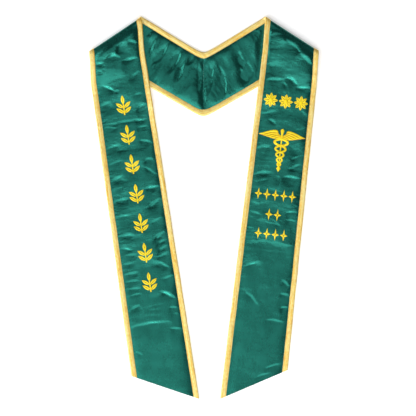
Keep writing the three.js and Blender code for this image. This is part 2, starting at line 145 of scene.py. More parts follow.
# %% [markdown]
# ## Writing materials as sums
#
# A node tree reads better as arithmetic. `Socket` wraps an output socket, and each operator on it
# adds a Math node. `Finish` is a material that is being mixed: its one method `node` adds any
# node, with its settings first and then the values or links of its inputs.


# %% Shader helpers
class Socket:
    """An output socket that can stand in a sum."""

    def __init__(self, finish, output):
        self.finish = finish
        self.output = output

    def math(self, operation, first, second=None):
        values = {0: first} if second is None else {0: first, 1: second}
        return self.finish.node("ShaderNodeMath", {"operation": operation}, values)

    def __add__(self, other):
        return self.math("ADD", self, other)

    def __radd__(self, other):
        return self.math("ADD", other, self)

    def __sub__(self, other):
        return self.math("SUBTRACT", self, other)

    def __rsub__(self, other):
        return self.math("SUBTRACT", other, self)

    def __mul__(self, other):
        return self.math("MULTIPLY", self, other)

    def __rmul__(self, other):
        return self.math("MULTIPLY", other, self)

    def __truediv__(self, other):
        return self.math("DIVIDE", self, other)

    def __pow__(self, other):
        return self.math("POWER", self, other)

    def clamped(self):
        return self.math("MINIMUM", self.math("MAXIMUM", self, 0.0), 1.0)


class Finish:
    """A material with its Principled shader, and the one way to add nodes to it."""

    def __init__(self, name, **constants):
        self.material = bpy.data.materials.new(name)
        self.material.use_nodes = True
        self.tree = self.material.node_tree
        self.shader = self.tree.nodes["Principled BSDF"]
        for socket, value in constants.items():
            self.shader.inputs[socket.replace("_", " ")].default_value = value

    def node(self, kind, settings=None, inputs=None, output=0):
        """A node of that kind, with its settings made before its inputs are filled or linked."""
        made = self.tree.nodes.new(kind)
        for name, value in (settings or {}).items():
            if name == "stops":
                self.set_stops(made.color_ramp, value)
            else:
                setattr(made, name, value)
        for socket, value in (inputs or {}).items():
            self.fill(made.inputs[socket], value)
        return Socket(self, made.outputs[output])

    def set_stops(self, ramp, stops):
        while len(ramp.elements) < len(stops):
            ramp.elements.new(1.0)
        for element, (place, colour) in zip(ramp.elements, stops):
            element.position = place
            element.color = colour

    def fill(self, socket, value):
        if isinstance(value, Socket):
            self.tree.links.new(value.output, socket)
        else:
            socket.default_value = value

    def feed(self, **links):
        for socket, value in links.items():
            self.fill(self.shader.inputs[socket.replace("_", " ")], value)

    def pattern(self):
        """The piece's own flat pattern, in millimetres: across it and along it."""
        place = self.node("ShaderNodeUVMap", {"uv_map": "pattern"})
        across = self.node("ShaderNodeSeparateXYZ", inputs={0: place}, output=0)
        along = self.node("ShaderNodeSeparateXYZ", inputs={0: place}, output=1)
        return across / MM, along / MM

    def noise(self, across, along, detail=2.0, roughness=0.5, level=0.0):
        """Cloudy noise about 0.5, in cells one unit wide."""
        place = self.node("ShaderNodeCombineXYZ", inputs={0: across, 1: along, 2: level})
        settings = {"noise_dimensions": "3D"}
        inputs = {"Vector": place, "Scale": 1.0, "Detail": detail, "Roughness": roughness}
        return self.node("ShaderNodeTexNoise", settings, inputs)

    def mix(self, share, first, second):
        """A colour between two colours."""
        settings = {"data_type": "RGBA"}
        inputs = {"Factor": share, 6: first, 7: second}
        return self.node("ShaderNodeMix", settings, inputs, output=2)

    def bump(self, height, depth, strength=1.0):
        inputs = {"Height": height, "Distance": depth * MM, "Strength": strength}
        return self.node("ShaderNodeBump", inputs=inputs)


# %% [markdown]
# The floor is a sheet of white paper over a light table: nearly white, faintly clouded, and with a
# little light of its own, so that the stole throws next to no shadow, as in the photo.

# %% The floor's finish
paper = Finish("white_paper", Roughness=0.7, Emission_Strength=0.3)
place = paper.node("ShaderNodeTexCoord", output=3)
fibres = paper.node("ShaderNodeTexNoise", inputs={"Vector": place, "Scale": 14.0, "Detail": 4.0})
paper.feed(Base_Color=paper.mix(fibres, (0.90, 0.90, 0.90, 1), (0.94, 0.94, 0.935, 1)))
paper.shader.inputs["Emission Color"].default_value = (1, 1, 1, 1)
floor.data.materials.append(paper.material)

# %% [markdown]
# ## The flat pattern and the way it is laid
#
# Each half of the stole is one straight strip, a little wider at its tip. It is drawn flat: `s`
# runs along it from the seam behind the neck and `u` across it towards the neck edge. Laying it
# down is a formula: the strip rises at 31 degrees as the back arm, rolls over the shoulder on a
# slanted line without stretching, and comes back over itself as the front panel. Because cloth,
# ribbon and thread all pass through the same formula, they stay together.

# %% Sizes of the pattern, in millimetres and radians
SEAM_WIDTH = 110
TIP_WIDTH = 128
BACK_RISE = math.radians(31)
SATIN_THICKNESS = 1.4
RIBBON_WIDTH = 10.8
EDGE_HALF = 2.0  # half the thickness of a bound edge
SATIN_INSET = 1.3  # the satin's own edge lies this far inside the ribbon's fold
SAG = 1.3  # between its ribbons the satin comes down to the table
LAYER_LIFT = 4.5  # of the front panel where it lies on the back arm
EDGE_FALL = 70  # over which it comes down past the back arm
FOLD_HEIGHT = 3.8  # of the roll at the shoulder, from its middle
FOLD_DEPTH = 6.5  # from the middle of the roll to its outermost line
FOLD_SETTLE = 90  # past the roll, over which the panel comes down to its own level
FOLD_SWELL = 3.6  # the panel rises this much more from the roll
FOLD_SWELL_RUN = 9
PUFF_RUN = 14  # past the roll, over which the panel's puffs and creases begin
BOW_RUN = 60  # over which the panel bows out sideways
COVER_FADE = 16  # beside the front panel, where an arm's pleats go flat
SEAM_FADE = 14
SEAM_GAP = 0.02
SEAM_GROOVE = 1.6
SEAM_GROOVE_WIDTH = 1.3
GATHER_HEIGHT = 1.5
GATHER_RUN = 9
V_ROUNDING = 9  # the two arms meet in a rounded V
FLOOR_CLEARANCE = 0.1
CELL = 1.7  # of the satin's grid
FOLD_CELLS = 14


def smoothstep(value, low, high):
    share = np.clip((value - low) / (high - low), 0, 1)
    return share * share * (3 - 2 * share)


def cloud(x, y, level):
    """Smooth noise from -1 to 1, in cells one unit wide."""
    return np.array([noise.noise((a, b, level)) for a, b in zip(x, y)])


# %% The roll at the shoulder
# Arc length along half an ellipse, from underneath to on top, against the angle round it.
ROLL_ANGLES = np.linspace(-math.pi / 2, math.pi / 2, 181)
roll_steps = np.hypot(
    FOLD_DEPTH * np.diff(np.cos(ROLL_ANGLES)), FOLD_HEIGHT * np.diff(np.sin(ROLL_ANGLES))
)
ROLL_LENGTHS = np.concatenate([[0], np.cumsum(roll_steps)])
HALF_ROLL = ROLL_LENGTHS[-1] / 2
print(f"the roll takes {2 * HALF_ROLL:.1f} mm of cloth")


def roll(past):
    """How far out a point lies, and how high, from how far past the fold line it was flat."""
    angle = np.interp(past + HALF_ROLL, ROLL_LENGTHS, ROLL_ANGLES)
    out = FOLD_DEPTH * np.cos(angle) - HALF_ROLL
    out = np.where(np.abs(past) < HALF_ROLL, out, -np.abs(past))
    return out, FOLD_HEIGHT * (1 + np.sin(angle))


# %% One half of the stole
class Half:
    """The flat pattern of one half, and how it is folded and laid."""

    origin = np.zeros(2)  # where the middle of the seam lies, set once it is measured

    def __init__(self, name, hand, length, fold_at, lean, bow, tip_cut, wrinkles):
        self.name = name
        self.hand = hand
        self.length = length
        self.fold_at = fold_at
        self.bow = bow
        self.wrinkles = wrinkles
        lean = math.radians(lean)
        self.along = np.array([math.cos(BACK_RISE), math.sin(BACK_RISE)])
        self.across = np.array([-self.along[1], self.along[0]])
        fold_angle = (1.5 * math.pi - lean + BACK_RISE) / 2
        self.fold_line = np.array([math.cos(fold_angle), math.sin(fold_angle)])
        self.outward = np.array([self.fold_line[1], -self.fold_line[0]])
        self.panel_along = np.array([-math.sin(lean), -math.cos(lean)])
        self.panel_across = np.array([-math.cos(lean), math.sin(lean)])
        self.flare = (TIP_WIDTH - SEAM_WIDTH) / 2 / length
        square = self.along @ self.outward
        fold_skew = -(self.across @ self.outward) / square
        self.cuts = np.array(
            [
                (SEAM_GAP / self.along[0], self.along[1] / self.along[0]),
                (fold_at - HALF_ROLL / square, fold_skew),
                (fold_at + HALF_ROLL / square, fold_skew),
                (length, math.tan(math.radians(tip_cut))),
            ]
        )
        arm = round((self.cuts[1, 0] - self.cuts[0, 0]) / CELL)
        panel = round((self.cuts[3, 0] - self.cuts[2, 0]) / CELL)
        self.rows = np.cumsum([0, arm, FOLD_CELLS, panel])

    def half_width(self, s):
        return SEAM_WIDTH / 2 + self.flare * s

    def place(self, row, share, inset):
        """s and u of a point on a row of the grid, at a share of the way to an inset edge."""
        start = np.interp(row, self.rows, self.cuts[:, 0])
        skew = np.interp(row, self.rows, self.cuts[:, 1])
        on_seam = share * (SEAM_WIDTH / 2 - inset)
        s = (start + skew * on_seam) / (1 - skew * share * self.flare)
        return s, share * (self.half_width(s) - inset)

    def lay(self, s, u):
        """The middle of the cloth at points of the pattern, in millimetres."""
        from_fold = np.outer(s - self.fold_at, self.along) + np.outer(u, self.across)
        past = from_fold @ self.outward
        out, rise = roll(past)
        flat = self.fold_at * self.along + np.outer(out, self.outward)
        flat = flat + np.outer(from_fold @ self.fold_line, self.fold_line)
        share = np.clip(np.abs(u) / (self.half_width(s) - RIBBON_WIDTH), 0, 1)
        free = 1 - share**4
        loose = 1 - share**6
        beyond = np.abs(past) - HALF_ROLL
        settled = smoothstep(beyond, 0, FOLD_SETTLE)
        arm = loose * self.arm_relief(s, u, flat) - free * SAG * settled
        panel = loose * smoothstep(beyond, 0, PUFF_RUN) * self.wrinkles.panel(self, s, u)
        panel = panel - free * SAG * settled
        past_lower = -self.half_width(flat @ self.along) - flat @ self.across
        panel = panel + LAYER_LIFT * (1 - smoothstep(past_lower, 0, EDGE_FALL))
        panel = panel + (2 * FOLD_HEIGHT - LAYER_LIFT) * (1 - settled)
        swell = free * FOLD_SWELL * (1 - np.exp(-np.maximum(past, 0) / FOLD_SWELL_RUN))
        panel = panel + swell * (1 - settled)
        rise = rise + swell
        rolled = beyond < 0
        height = np.where(rolled, rise, np.where(past < 0, arm, panel))
        height = np.maximum(height, SATIN_THICKNESS / 2 + FLOOR_CLEARANCE - EDGE_HALF)
        x = flat[:, 0] + np.where(past > 0, self.bow * smoothstep(beyond, 0, BOW_RUN), 0)
        meeting = math.tan(BACK_RISE) * (np.hypot(x, V_ROUNDING) - np.abs(x))
        y = flat[:, 1] + meeting * np.where(past > 0, 1 - smoothstep(beyond, 0, BOW_RUN), 1)
        return np.column_stack(
            [self.hand * x + self.origin[0], y + self.origin[1], height + EDGE_HALF]
        )

    def arm_relief(self, s, u, flat):
        """Pleats of the back arm, which die away under the front panel and sink at the seam."""
        on_panel = flat - self.fold_at * self.along
        panel_half = self.half_width(self.fold_at + on_panel @ self.panel_along)
        shown = smoothstep(on_panel @ self.panel_across - panel_half, 0, COVER_FADE)
        beside_seam = flat[:, 0]
        gathers = np.abs(cloud(u / 7, beside_seam / 18, self.wrinkles.seed + 1))
        gathers = GATHER_HEIGHT * gathers * np.exp(-beside_seam / GATHER_RUN)
        relief = self.wrinkles.arm(self, s, u) * smoothstep(beside_seam, -3, SEAM_FADE) - gathers
        return relief * shown - SEAM_GROOVE * np.exp(-beside_seam / SEAM_GROOVE_WIDTH)

    def surface(self, s, u):
        """Points of the cloth's middle, and unit normals that point up on the back arm."""
        step = 0.4
        here = self.lay(s, u)
        down = self.lay(s + step, u) - here
        over = self.lay(s, u + step) - here
        normal = self.hand * np.cross(down, over)
        return here, normal / np.linalg.norm(normal, axis=1)[:, None]


# %% [markdown]
# ## Creases
#
# Satin on a soft interfacing puffs up, and creases cut into the puffs. Most run across the band,
# because the ribbons hold its edges taut. The long ones are placed one by one in tables, and the
# small puckers between them come from noise that is stretched across the band. They could all be
# noise, but then no fold would lie where the real one does. A crease is a step: one bank is steep,
# always at the same slope, and catches a strip of light, and the other comes up slack. It bends a
# little and fades towards its ends.
#
# Places are in millimetres: `down` from the shoulder (on a back arm: from the seam) and `side`
# towards the right as laid (on a back arm: towards the neck). `run` is half the length, `turn` the
# angle in degrees at which it climbs towards that side, `arc` the height of its bow, `slack` the
# width of its slack bank, and `deep` its depth.


# %% Creases
CREASE_ROUNDING = 0.7
CREASE_SWAY = 2.2
CREASE_DEPTH = 1.5  # times the depth in the tables
STEEP_SLOPE = 0.58
SLACK_REACH = 3  # times the width in the tables
PANEL_PUFF = 3.8  # height of the cloth between its creases
PANEL_SWELL = 1.8  # of its broad rises and falls
PANEL_PUCKERS = 0.55  # share of the small puckers
ARM_PUFF = 4.2
ARM_SWELL = 3.2
ARM_PUCKERS = 0.5


def creases(rows, down, side, seed, steep=1):
    """Depth of all the creases of a table. steep is 1 if their upper banks are the steep ones."""
    total = np.zeros(len(down))
    sway = CREASE_SWAY * cloud(down / 19, side / 19, seed)
    for centre, aside, run, turn, arc, slack, deep in rows:
        angle = math.radians(turn)
        right = side - aside
        up = centre - down
        onward = right * math.cos(angle) + up * math.sin(angle)
        beside = up * math.cos(angle) - right * math.sin(angle) + sway
        share = np.clip(np.abs(onward) / run, 0, 1)
        beside = beside - arc * (1 - share**2)
        depth = CREASE_DEPTH * deep * (1 - share**2) ** 1.5
        away = np.sqrt(beside**2 + CREASE_ROUNDING**2) - CREASE_ROUNDING
        steep_bank = np.maximum(depth - STEEP_SLOPE * away, 0)
        slack_bank = depth * np.exp(-away / (SLACK_REACH * slack))
        total += np.where(beside * steep > 0, steep_bank, slack_bank) ** 2
    return np.sqrt(total)


# %% Creases of the left panel
# down, side, run, turn, arc, slack, deep
LEFT_PANEL = [
    (31, 9, 19, 44, 3, 9, 2.4),
    (24, 33, 15, -12, 1, 6, 1.8),
    (56, -39, 14, 4, 0, 4, 1.6),
    (50, -10, 21, 0, 5, 4, 2.6),
    (54, 26, 22, 4, -3, 3.5, 2.6),
    (74, -40, 10, -20, 3, 4, 1.2),
    (90, 30, 19, 36, 0, 7, 2.0),
    (107, -25, 19, -32, 0, 4, 2.0),
    (118, -10, 8, 0, 2, 5, 1.6),
    (140, -38, 16, 30, 0, 5, 1.8),
    (126, 35, 18, 8, 0, 5, 1.0),
    (153, 35, 18, 22, 0, 4, 2.2),
    (178, 0, 52, 1, -2, 3, 2.3),
    (187, -28, 24, -14, 0, 4, 1.4),
    (193, 28, 24, -10, 0, 5, 1.3),
    (230, -25, 24, 2, 7, 6, 1.8),
    (223, 32, 20, -20, 0, 5, 1.6),
    (256, -30, 20, 14, 0, 5, 1.2),
    (262, 33, 14, 10, 2, 7, 1.6),
    (289, -34, 18, 26, 0, 6, 2.2),
    (283, 34, 20, -38, 0, 4, 1.8),
    (316, 30, 24, 1, 0, 3.5, 2.0),
    (309, -34, 18, 4, 0, 5, 1.2),
    (333, -30, 22, 10, 0, 3.5, 2.2),
    (350, 30, 26, 31, 0, 3.5, 2.4),
    (364, -30, 22, 2, 0, 9, 1.4),
    (382, 32, 20, 12, 0, 6, 1.3),
    (407, -24, 30, -8, 3, 3.5, 2.3),
    (416, 30, 24, 34, 0, 3, 2.4),
    (427, 34, 19, 30, 0, 3, 1.9),
    (440, 35, 17, 28, 0, 3, 1.8),
    (452, 34, 18, 24, 0, 3, 1.7),
    (431, -38, 16, -18, 0, 3, 1.7),
    (444, -28, 22, -4, 0, 4, 1.5),
    (459, -36, 16, 6, 0, 4, 1.3),
    (468, 24, 28, -26, 0, 4, 2.3),
    (481, -34, 20, 8, 0, 4, 1.6),
    (496, -36, 18, 2, 0, 4, 1.4),
    (510, -34, 18, -2, 0, 4, 1.5),
    (498, 38, 14, 20, 0, 4, 1.2),
    (533, 32, 24, -33, 0, 4, 2.2),
    (524, -34, 18, 14, 0, 4, 1.3),
    (551, -38, 16, 24, 0, 4, 1.8),
    (560, 40, 12, -14, 0, 4, 1.1),
    (573, 42, 12, 4, 0, 4, 1.0),
    (588, -14, 50, 1, 2, 9, 1.5),
    (603, 40, 16, -4, 0, 5, 1.3),
    (640, -42, 10, -30, 0, 6, 0.7),
]

# %% Creases of the right panel
RIGHT_PANEL = [
    (10, -30, 18, 6, 3, 9, 2.0),
    (27, 3, 27, -36, 3, 12, 2.9),
    (51, 33, 24, -40, 0, 10, 2.5),
    (70, -34, 20, 60, 0, 9, 1.4),
    (98, -27, 24, 14, 0, 4, 2.5),
    (97, 6, 18, -26, 3, 3.5, 2.5),
    (105, 33, 20, 1, -2, 3.5, 2.0),
    (106, -5, 11, -62, 0, 4, 1.6),
    (126, -31, 20, -30, 0, 4, 1.6),
    (163, -30, 21, 16, 0, 4, 1.8),
    (154, 10, 10, -36, 0, 4, 1.2),
    (157, 38, 17, -40, 0, 4, 1.9),
    (184, -24, 16, -38, 3, 4, 1.7),
    (189, 33, 20, 16, -3, 4, 1.7),
    (203, -36, 14, 8, 0, 4, 1.2),
    (233, -34, 19, 14, 0, 4, 1.6),
    (246, -38, 14, 6, 0, 4, 1.1),
    (222, 34, 18, 18, 0, 4, 1.2),
    (246, 34, 18, 26, 0, 4, 1.5),
    (266, 33, 20, 27, 0, 4, 1.8),
    (285, -30, 23, 14, 0, 4, 2.0),
    (288, 30, 22, 3, 0, 5, 1.9),
    (300, -32, 20, 22, 0, 4, 1.5),
    (298, 3, 16, -84, 0, 5, 1.3),
    (310, 34, 18, 4, 0, 4, 1.6),
    (345, -40, 12, -10, 0, 4, 1.1),
    (357, 36, 16, 14, 0, 4, 1.4),
    (366, -34, 18, -12, 0, 5, 1.3),
    (374, 38, 14, -8, 0, 5, 1.1),
    (384, 10, 16, -40, 0, 4, 1.1),
    (399, -34, 20, -14, 0, 4, 1.8),
    (392, 40, 12, 10, 0, 5, 1.1),
    (424, 0, 56, -2, 3, 8, 2.0),
    (468, -32, 22, 28, 0, 11, 1.8),
    (500, 40, 14, -42, 0, 5, 1.4),
    (522, 42, 14, -12, 0, 4, 1.3),
    (536, -24, 22, -40, 0, 7, 1.2),
    (548, 43, 10, 2, 0, 5, 1.4),
    (575, 30, 26, 0, 0, 8, 1.0),
    (666, 34, 22, 20, 0, 5, 0.9),
    (684, 20, 24, 26, 0, 5, 0.7),
]

# %% Pleats of the two back arms
LEFT_ARM = [
    (17, 9, 34, -31, 0, 4, 3.0),
    (47, 31, 15, 10, 0, 4, 2.2),
    (55, 8, 32, -10, -3, 4, 3.2),
    (77, 14, 34, -4, 2, 7, 3.4),
    (111, 12, 36, 10, 3, 4, 3.4),
    (127, 14, 30, -4, -4, 7, 3.2),
    (149, 36, 14, 24, 0, 4, 2.2),
    (165, 42, 10, 10, 0, 4, 1.6),
]
RIGHT_ARM = [
    (20, 10, 40, -32, -2, 6, 2.8),
    (34, -10, 38, -22, -6, 7, 3.2),
    (30, 18, 22, -52, 0, 6, 2.6),
    (84, -22, 22, 4, 4, 5, 2.8),
    (94, 6, 20, -20, 3, 6, 2.6),
    (99, -22, 24, -8, 3, 6, 2.6),
    (146, 42, 14, 30, 0, 5, 2.0),
]
print(len(LEFT_PANEL), "and", len(RIGHT_PANEL), "creases on the panels")

# %% [markdown]
# The embroidery is backed, so it holds the satin flat where it is stitched. `LEFT_QUIET` and
# `RIGHT_QUIET` list those places as down, side, half height and half width, and creases fade there.

# %% Where the satin is held flat, and the small puckers
SPRIG_DOWN = [144 + 59.6 * number for number in range(7)]
ROSETTE_DOWN = 136.7
STAR_ROWS = [("upper", 324.8, 5), ("middle", 364.3, 2), ("lower", 403.8, 4)]
LEFT_QUIET = [(down, 0, 20, 15) for down in SPRIG_DOWN]
RIGHT_QUIET = [(ROSETTE_DOWN, 0, 16, 46), (208, 0, 14, 44), (240, 0, 36, 16)]
RIGHT_QUIET += [(down, 0, 12, 8 * count + 2) for row, down, count in STAR_ROWS]
HELD_FADE = 15
HELD_SHARE = 0.8  # of a crease that goes where the satin is held


def held_flat(places, down, side):
    """1 on the embroidery, and 0 well away from it."""
    held = np.zeros(len(down))
    for centre, aside, tall, wide in places:
        away = np.hypot(
            np.maximum(np.abs(down - centre) - tall, 0), np.maximum(np.abs(side - aside) - wide, 0)
        )
        held = np.maximum(held, 1 - smoothstep(away, 0, HELD_FADE))
    return held


class Wrinkles:
    """The creases of one half."""

    def __init__(self, panel_rows, arm_rows, quiet, seed):
        self.panel_rows = panel_rows
        self.arm_rows = arm_rows
        self.quiet = quiet
        self.seed = seed

    def puckers(self, half, s, u, down):
        """Small creases across the band, sharper near the ribbons and gone near the tip."""
        near_edge = np.exp(-(half.half_width(s) - RIBBON_WIDTH - np.abs(u)) / 13)
        ridges = 1 - 2.6 * np.abs(cloud(s / 11, u / 34, self.seed))
        fine = 1 - 2.6 * np.abs(cloud(s / 5.5 + 40, u / 16, self.seed))
        swell = 0.5 + cloud(s / 46, u / 60, self.seed + 9)
        busy = 1 - 0.85 * smoothstep(down, 540, 620)
        height = 0.5 * ridges * swell + near_edge * (0.45 * fine + 0.35 * ridges)
        return busy * np.maximum(height + 0.25, 0)

    def panel(self, half, s, u):
        down = s - half.fold_at
        side = -half.hand * u
        quiet = 1 - HELD_SHARE * held_flat(self.quiet, down, side)
        main = creases(self.panel_rows, down, side, self.seed)
        swell = PANEL_SWELL * cloud(s / 24, u / 36, self.seed + 12)
        swell = swell * (1 - 0.7 * smoothstep(down, 450, 560))
        small = PANEL_PUCKERS * self.puckers(half, s, u, down)
        return PANEL_PUFF + swell - quiet * (main + small)

    def arm(self, half, s, u):
        main = creases(self.arm_rows, s, u, self.seed + 3, steep=-half.hand)
        swell = ARM_SWELL * cloud(s / 20, u / 70, self.seed + 15)
        return ARM_PUFF + swell - main - ARM_PUCKERS * self.puckers(half, s, u, np.zeros(len(s)))


# %% [markdown]
# Each half gets its measures from the photo at two millimetres a pixel. `fold_at` is how far the
# shoulder fold lies from the seam, `lean` is the panel's slant in degrees, `bow` how far the panel
# bows out sideways, and `tip_cut` the slant of its tip.

# %% The two halves
LEFT = Half(
    "left", hand=-1, length=921, fold_at=206, lean=8.4, bow=4.5, tip_cut=27,
    wrinkles=Wrinkles(LEFT_PANEL, LEFT_ARM, LEFT_QUIET, seed=2.5),
)
RIGHT = Half(
    "right", hand=1, length=913, fold_at=207, lean=6.4, bow=2.5, tip_cut=29.5,
    wrinkles=Wrinkles(RIGHT_PANEL, RIGHT_ARM, RIGHT_QUIET, seed=7.5),
)
for half in (LEFT, RIGHT):
    print(half.name, "half:", int(half.rows[-1]), "rows of cloth from the seam to the tip")

# %% [markdown]
# The pattern's own origin is the middle of the seam. Where that lies in the frame is measured: the
# seam runs between the two satin solids, and the left tip ends where the left solid does.

# %% Putting the pattern in its place
left_low, left_high = (np.array(corner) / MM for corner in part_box("left_satin"))
right_low = np.array(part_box("right_satin")[0]) / MM
tip_row = LEFT.rows[-1]
tip_points = LEFT.lay(*LEFT.place(np.full(41, tip_row), np.linspace(-1, 1, 41), SATIN_INSET))
Half.origin = np.array([(left_high[0] + right_low[0]) / 2, left_low[1] - tip_points[:, 1].min()])
print("the seam's middle is at", Half.origin.round(3), "mm")

# %% [markdown]
# ## From a grid to cloth
#
# Every piece starts as a grid from `bmesh.ops.create_grid`, with its columns across the band and
# its rows along it. Each vertex is then moved to its place on the laid pattern. The UV map keeps
# where it was on the flat pattern, in metres, and the weave and the streaks follow that.


# %% Mesh helpers
def grid_sheet(columns, rows):
    """A grid as a bmesh, with its vertices' column and row numbers as x and y."""
    sheet = bmesh.new()
    bmesh.ops.create_grid(sheet, x_segments=columns, y_segments=rows, size=0.5)
    bmesh.ops.translate(sheet, verts=sheet.verts, vec=(0.5, 0.5, 0))
    bmesh.ops.scale(sheet, verts=sheet.verts, vec=(columns, rows, 1))
    return sheet


def number_grid(sheet):
    """Column and row of every vertex, as two arrays."""
    places = np.array([vert.co[:2] for vert in sheet.verts])
    return places[:, 0].round().astype(int), places[:, 1].round().astype(int)


def move_all(sheet, points):
    """Moves the vertices to points in millimetres."""
    for vert, point in zip(sheet.verts, points * MM):
        vert.co = point


def keep_pattern(sheet, across, along):
    """Stores the flat pattern, given a vertex at a time in millimetres, as the UV map."""
    layer = sheet.loops.layers.uv.new("pattern")
    sheet.verts.index_update()
    for face in sheet.faces:
        for loop in face.loops:
            index = loop.vert.index
            loop[layer].uv = (across[index] * MM, along[index] * MM)


SHARP_ANGLE = 50


def piece_from(sheet, name, finish, sharp_angle=SHARP_ANGLE):
    """A smooth-shaded object from a bmesh, with edges sharper than an angle kept crisp."""
    limit = math.radians(sharp_angle)
    for face in sheet.faces:
        face.smooth = True
    for edge in sheet.edges:
        edge.smooth = edge.is_boundary or edge.calc_face_angle(0) < limit
    mesh = bpy.data.meshes.new(name)
    sheet.to_mesh(mesh)
    sheet.free()
    piece = bpy.data.objects.new(name, mesh)
    piece.data.materials.append(finish)
    bpy.context.scene.collection.objects.link(piece)
    return piece


def thickened(piece, thickness):
    """Gives an open sheet its thickness, half to each side, and closes its rim."""
    shell = piece.modifiers.new("thickness", "SOLIDIFY")
    shell.thickness = thickness * MM
    shell.offset = 0
    shell.use_quality_normals = True
    evaluated = piece.evaluated_get(bpy.context.evaluated_depsgraph_get())
    mesh = bpy.data.meshes.new_from_object(evaluated)
    piece.modifiers.clear()
    solid = bmesh.new()
    solid.from_mesh(mesh)
    limit = math.radians(SHARP_ANGLE)
    for edge in solid.edges:
        edge.smooth = edge.calc_face_angle(0) < limit
    solid.to_mesh(piece.data)
    solid.free()
    bpy.data.meshes.remove(mesh)
    return piece


def triangles(piece):
    return sum(len(face.vertices) - 2 for face in piece.data.polygons)


# %% [markdown]
# ## Green satin
#
# Satin is woven with long floats that lie along the band, so it is smooth and mirrors light in its
# own colour. That is why the shader is nearly a metal: its highlights stay teal. The floats show
# as very fine lines along the band, and the cloth is never one even green.


# %% The satin's finish
def green_satin():
    finish = Finish("green_satin", Metallic=0.9, Sheen_Weight=0.03, Sheen_Roughness=0.4)
    finish.shader.inputs["Sheen Tint"].default_value = (0.25, 0.75, 0.7, 1)
    across, along = finish.pattern()
    mottle = finish.noise(across / 22, along / 30, detail=3)
    floats = finish.noise(across / 0.35, along / 9, detail=2)
    slubs = finish.noise(across / 2.5, along / 60, detail=2, level=4)
    depth = (0.55 * mottle + 0.25 * floats + 0.2 * slubs - 0.25) * 2
    deep = (0.010, 0.128, 0.098, 1)
    light = (0.018, 0.205, 0.160, 1)
    weave = finish.noise(across / 0.22, along / 1.6, detail=1, level=2)
    crinkle = finish.noise(across / 15, along / 6.5, detail=3, roughness=0.55, level=7)
    crinkle = crinkle * (1 - 0.8 * ((along - 640) / 110).clamped())
    finish.feed(
        Base_Color=finish.mix(depth.clamped(), deep, light),
        Roughness=0.2 + 0.1 * mottle + 0.05 * floats,
        Normal=finish.bump(0.05 * weave + 0.03 * floats + 0.8 * crinkle, 1.0),
    )
    return finish.material


GREEN_SATIN = green_satin()


# %% The two halves in satin
def satin_half(half):
    columns = round((SEAM_WIDTH + TIP_WIDTH) / 2 / CELL)
    sheet = grid_sheet(columns, int(half.rows[-1]))
    column, row = number_grid(sheet)
    s, u = half.place(row, 2 * column / columns - 1, SATIN_INSET)
    keep_pattern(sheet, u, s)
    move_all(sheet, half.lay(s, u))
    piece = piece_from(sheet, f"{half.name}_satin_cloth", GREEN_SATIN)
    return thickened(piece, SATIN_THICKNESS)


satins = {half: satin_half(half) for half in (LEFT, RIGHT)}
for half, piece in satins.items():
    print(piece.name, triangles(piece), "triangles")

# %% [markdown]
# ## Gold ribbon
#
# The edge is bound in a satin ribbon folded over it and stitched down. It could be one bulging
# strip, but from the side its two legs show. In section it is a hook: the legs press on the satin at
# their stitched ends, swell towards the middle, and meet in a round fold. It runs in one piece from
# the left tip to the right tip, mitred at the back seam.


# %% The ribbon's section
RIBBON_THICKNESS = 0.5
SECTION_COLUMNS = 22
PRESSED = 1.05  # height of the stitched edge above the satin's middle
STITCH_LINE = 1.9  # from the stitched edge
STITCH_DENT = 0.22


def ribbon_section():
    """Out from the stitched edge and up from the satin's middle, from the lower leg to the upper."""
    radius = EDGE_HALF - RIBBON_THICKNESS / 2
    leg = RIBBON_WIDTH - EDGE_HALF
    girth = leg + radius * math.pi / 2
    around = np.linspace(-girth, girth, SECTION_COLUMNS + 1)
    bend = np.clip(around / radius, -math.pi / 2, math.pi / 2)
    out = leg + radius * np.cos(bend) - np.maximum(np.abs(around) - radius * math.pi / 2, 0)
    crown = smoothstep(out, -1, 5)
    height = radius * np.sin(bend)
    upper = PRESSED + (radius - PRESSED) * crown
    upper = upper - STITCH_DENT * np.exp(-(((out - STITCH_LINE) / 0.9) ** 2))
    height = np.where(np.abs(bend) < math.pi / 2, height, np.sign(around) * upper)
    return out, height, around


def ribbon(name, side, finish):
    """side is 1 for the neck edge and -1 for the outer edge."""
    left_rows, right_rows = int(LEFT.rows[-1]), int(RIGHT.rows[-1])
    out, height, around = ribbon_section()
    sheet = grid_sheet(SECTION_COLUMNS, left_rows + right_rows + 1)
    column, row = number_grid(sheet)
    points = np.zeros((len(column), 3))
    across = around[column]
    along = np.zeros(len(column))
    for half, mine, number in (
        (LEFT, row <= left_rows, left_rows - row),
        (RIGHT, row > left_rows, row - left_rows - 1),
    ):
        columns = column[mine]
        inset = RIBBON_WIDTH - out[columns]
        s, u = half.place(number[mine], side, inset)
        ripple = 0.4 * cloud(s / 34, np.full(len(s), side * 5.0), half.wrinkles.seed)
        u = u + side * ripple
        middle, normal = half.surface(s, u)
        puff = cloud(s / 8, across[mine] / 7, half.wrinkles.seed + side)
        tilt = cloud(s / 50, across[mine] / 30, half.wrinkles.seed + 5)
        legs = smoothstep(np.abs(across[mine]), 2.5, 5)
        lift = height[columns] + np.sign(height[columns]) * legs * (0.3 * puff + 0.2 * tilt)
        points[mine] = middle + normal * lift[:, None]
        along[mine] = half.hand * s
    points[:, 2] = np.maximum(points[:, 2], RIBBON_THICKNESS / 2 + FLOOR_CLEARANCE)
    keep_pattern(sheet, across, along)
    move_all(sheet, points)
    return thickened(piece_from(sheet, name, finish), RIBBON_THICKNESS)


